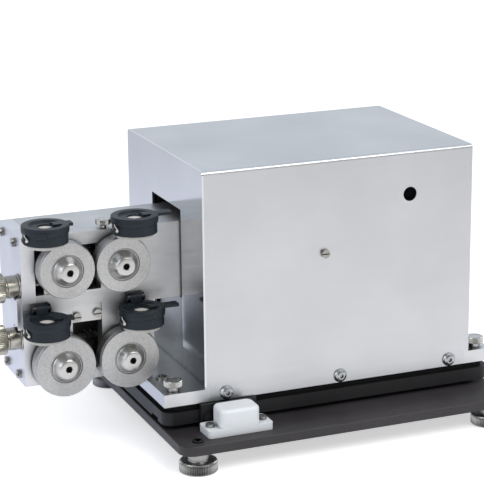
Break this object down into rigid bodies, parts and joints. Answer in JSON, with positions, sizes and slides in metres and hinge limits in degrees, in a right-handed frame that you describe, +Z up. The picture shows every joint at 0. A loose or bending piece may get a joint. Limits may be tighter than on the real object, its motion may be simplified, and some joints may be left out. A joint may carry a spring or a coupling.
{
  "type": "rheometer",
  "caption": "Haul-off rheometer: pairs of counter-rotating wheels on an arm that reaches out of a brushed steel housing, on a sliding deck and levelled base.",
  "frame": {"origin": "on the bench, under the middle of the base plate", "axes": "+Z up, +X to the right along the housing's front, away from the wheels; the wheels and the front panel face -Y"},
  "size_m": [0.354, 0.211, 0.196],
  "materials": {
    "black_paint": "satin black",
    "dark_base": "dark anodised, matt",
    "steel_sheet": "fine brushed stainless sheet",
    "aluminium_plate": "milled, clear anodised",
    "milled_metal": "milled, bead blasted",
    "turned_steel": "turned stainless",
    "wheel_metal": "turned, satin",
    "brass_steel": "turned, warm grey",
    "black_plastic": "moulded, satin",
    "white_plastic": "moulded, satin white",
    "white_felt": "pressed wool felt",
    "black_rubber": "matt rubber",
    "dark_screw": "plain steel"
  },
  "bodies": {
    "base": {"base_plate": "dark_base", "guide_rails": "turned_steel", "keeper_screws": "dark_screw", "switch_block": "white_plastic", "switch_screws": "dark_screw"},
    "carriage": {"carriage_plate": "black_paint", "damping_mat": "black_rubber", "deck_plate": "aluminium_plate", "deck_bushes": "turned_steel", "actuator": "black_paint", "cover": "steel_sheet", "cover_screws": "dark_screw", "side_plate": "aluminium_plate", "cable_socket": "dark_screw", "arm_body": "milled_metal", "arm_back": "milled_metal", "end_plate_upper": "milled_metal", "end_plate_lower": "milled_metal", "joint_saddle": "milled_metal", "tie_plate": "milled_metal", "slotted_screws": "dark_screw", "drive_belt": "black_rubber", "motor_belt": "black_rubber", "motor": "black_paint", "load_cell": "milled_metal", "holder_hinges": "turned_steel"},
    "foot_front_left": {"foot_front_left": "turned_steel"},
    "foot_front_right": {"foot_front_right": "turned_steel"},
    "foot_rear_left": {"foot_rear_left": "turned_steel"},
    "foot_rear_right": {"foot_rear_right": "turned_steel"},
    "thumb_front_left": {"thumb_front_left": "turned_steel"},
    "thumb_front_right": {"thumb_front_right": "turned_steel"},
    "thumb_rear_left": {"thumb_rear_left": "turned_steel"},
    "thumb_rear_right": {"thumb_rear_right": "turned_steel"},
    "thumb_arm": {"thumb_arm": "turned_steel"},
    "carrier_upper": {"carrier_upper": "milled_metal"},
    "knob_upper": {"knob_upper": "brass_steel"},
    "idler_upper_right": {"idler_upper_right": "turned_steel"},
    "idler_upper_left": {"idler_upper_left": "turned_steel"},
    "carrier_lower": {"carrier_lower": "milled_metal"},
    "knob_lower": {"knob_lower": "brass_steel"},
    "idler_lower_right": {"idler_lower_right": "turned_steel"},
    "idler_lower_left": {"idler_lower_left": "turned_steel"},
    "wheel_upper_left": {"wheel_upper_left": "wheel_metal", "spindle_upper_left": "turned_steel"},
    "holder_upper_left": {"cap_upper_left": "black_plastic", "felt_upper_left": "white_felt"},
    "wheel_upper_right": {"wheel_upper_right": "wheel_metal", "spindle_upper_right": "turned_steel"},
    "holder_upper_right": {"cap_upper_right": "black_plastic", "felt_upper_right": "white_felt"},
    "wheel_lower_left": {"wheel_lower_left": "wheel_metal", "spindle_lower_left": "turned_steel"},
    "holder_lower_left": {"cap_lower_left": "black_plastic", "felt_lower_left": "white_felt"},
    "wheel_lower_right": {"wheel_lower_right": "wheel_metal", "spindle_lower_right": "turned_steel"},
    "holder_lower_right": {"cap_lower_right": "black_plastic", "felt_lower_right": "white_felt"},
    "motor_rotor": {"motor_pulley": "turned_steel"}
  },
  "joints": [
    {"name": "foot_front_left_turn", "type": "hinge", "parent": "base", "child": "foot_front_left", "pos_m": [-0.1095, -0.0925, 0.014], "axis": [0, 0, 1], "range_deg": [-360, 360]},
    {"name": "foot_front_right_turn", "type": "hinge", "parent": "base", "child": "foot_front_right", "pos_m": [0.1095, -0.0925, 0.014], "axis": [0, 0, 1], "range_deg": [-360, 360]},
    {"name": "foot_rear_left_turn", "type": "hinge", "parent": "base", "child": "foot_rear_left", "pos_m": [-0.1095, 0.0925, 0.014], "axis": [0, 0, 1], "range_deg": [-360, 360]},
    {"name": "foot_rear_right_turn", "type": "hinge", "parent": "base", "child": "foot_rear_right", "pos_m": [0.1095, 0.0925, 0.014], "axis": [0, 0, 1], "range_deg": [-360, 360]},
    {"name": "carriage_slide", "type": "slide", "parent": "base", "child": "carriage", "axis": [1, 0, 0], "range_m": [-0.015, 0.015]},
    {"name": "thumb_front_left_turn", "type": "hinge", "parent": "carriage", "child": "thumb_front_left", "pos_m": [-0.1145, -0.06, 0.046], "axis": [0, 0, 1], "range_deg": [-360, 360]},
    {"name": "thumb_front_right_turn", "type": "hinge", "parent": "carriage", "child": "thumb_front_right", "pos_m": [0.1145, -0.06, 0.046], "axis": [0, 0, 1], "range_deg": [-360, 360]},
    {"name": "thumb_rear_left_turn", "type": "hinge", "parent": "carriage", "child": "thumb_rear_left", "pos_m": [-0.1145, 0.075, 0.046], "axis": [0, 0, 1], "range_deg": [-360, 360]},
    {"name": "thumb_rear_right_turn", "type": "hinge", "parent": "carriage", "child": "thumb_rear_right", "pos_m": [0.1145, 0.075, 0.046], "axis": [0, 0, 1], "range_deg": [-360, 360]},
    {"name": "thumb_arm_turn", "type": "hinge", "parent": "carriage", "child": "thumb_arm", "pos_m": [-0.1475, -0.0205, 0.153], "axis": [0, 0, 1], "range_deg": [-360, 360]},
    {"name": "gap_knob_upper", "type": "hinge", "parent": "carriage", "child": "knob_upper", "pos_m": [-0.2065, -0.0165, 0.1185], "axis": [1, 0, 0], "range_deg": [0, 1008]},
    {"name": "gap_slide_upper", "type": "slide", "parent": "carriage", "child": "carrier_upper", "axis": [-1, 0, 0], "range_m": [0, 0.0028]},
    {"name": "gap_knob_lower", "type": "hinge", "parent": "carriage", "child": "knob_lower", "pos_m": [-0.2065, -0.0165, 0.0825], "axis": [1, 0, 0], "range_deg": [0, 1008]},
    {"name": "gap_slide_lower", "type": "slide", "parent": "carriage", "child": "carrier_lower", "axis": [-1, 0, 0], "range_m": [0, 0.0028]},
    {"name": "wheel_upper_right_spin", "type": "hinge", "parent": "carriage", "child": "wheel_upper_right", "pos_m": [-0.13925, -0.0375, 0.1308], "axis": [0, 1, 0], "continuous": true},
    {"name": "wheel_upper_left_spin", "type": "hinge", "parent": "carrier_upper", "child": "wheel_upper_left", "pos_m": [-0.17815, -0.0375, 0.1308], "axis": [0, 1, 0], "continuous": true},
    {"name": "wheel_lower_right_spin", "type": "hinge", "parent": "carriage", "child": "wheel_lower_right", "pos_m": [-0.13625, -0.0375, 0.0646], "axis": [0, 1, 0], "continuous": true},
    {"name": "wheel_lower_left_spin", "type": "hinge", "parent": "carrier_lower", "child": "wheel_lower_left", "pos_m": [-0.18115, -0.0375, 0.0646], "axis": [0, 1, 0], "continuous": true},
    {"name": "idler_upper_right_spin", "type": "hinge", "parent": "carriage", "child": "idler_upper_right", "pos_m": [-0.15222, 0.0065, 0.1308], "axis": [0, 1, 0], "continuous": true},
    {"name": "idler_upper_left_spin", "type": "hinge", "parent": "carriage", "child": "idler_upper_left", "pos_m": [-0.16518, 0.0065, 0.1308], "axis": [0, 1, 0], "continuous": true},
    {"name": "idler_lower_right_spin", "type": "hinge", "parent": "carriage", "child": "idler_lower_right", "pos_m": [-0.15122, 0.0065, 0.0646], "axis": [0, 1, 0], "continuous": true},
    {"name": "idler_lower_left_spin", "type": "hinge", "parent": "carriage", "child": "idler_lower_left", "pos_m": [-0.16618, 0.0065, 0.0646], "axis": [0, 1, 0], "continuous": true},
    {"name": "motor_spin", "type": "hinge", "parent": "carriage", "child": "motor_rotor", "pos_m": [0.0105, 0.016, 0.1308], "axis": [0, 1, 0], "continuous": true},
    {"name": "holder_upper_left_lift", "type": "hinge", "parent": "carriage", "child": "holder_upper_left", "pos_m": [-0.19345, -0.0205, 0.1575], "axis": [-1, 0, 0], "range_deg": [0, 95]},
    {"name": "holder_upper_right_lift", "type": "hinge", "parent": "carriage", "child": "holder_upper_right", "pos_m": [-0.13215, -0.0205, 0.1575], "axis": [-1, 0, 0], "range_deg": [0, 95]},
    {"name": "holder_lower_left_lift", "type": "hinge", "parent": "carriage", "child": "holder_lower_left", "pos_m": [-0.19455, -0.0279, 0.1045], "axis": [-1, 0, 0], "range_deg": [0, 36]},
    {"name": "holder_lower_right_lift", "type": "hinge", "parent": "carriage", "child": "holder_lower_right", "pos_m": [-0.12875, -0.0279, 0.1045], "axis": [-1, 0, 0], "range_deg": [0, 36]}
  ],
  "couplings": [
    {"joint": "gap_knob_upper", "follows": "gap_slide_upper", "rad_per_m": 6283.2},
    {"joint": "gap_knob_lower", "follows": "gap_slide_lower", "rad_per_m": 6283.2},
    {"joint": "wheel_upper_left_spin", "follows": "wheel_upper_right_spin", "ratio": -1},
    {"joint": "wheel_lower_right_spin", "follows": "wheel_upper_right_spin", "ratio": 1},
    {"joint": "wheel_lower_left_spin", "follows": "wheel_upper_right_spin", "ratio": -1},
    {"joint": "idler_upper_right_spin", "follows": "wheel_upper_right_spin", "ratio": -1},
    {"joint": "idler_upper_left_spin", "follows": "wheel_upper_right_spin", "ratio": 1},
    {"joint": "idler_lower_right_spin", "follows": "wheel_upper_right_spin", "ratio": -1},
    {"joint": "idler_lower_left_spin", "follows": "wheel_upper_right_spin", "ratio": 1},
    {"joint": "motor_spin", "follows": "wheel_upper_right_spin", "ratio": 1.3333}
  ]
}
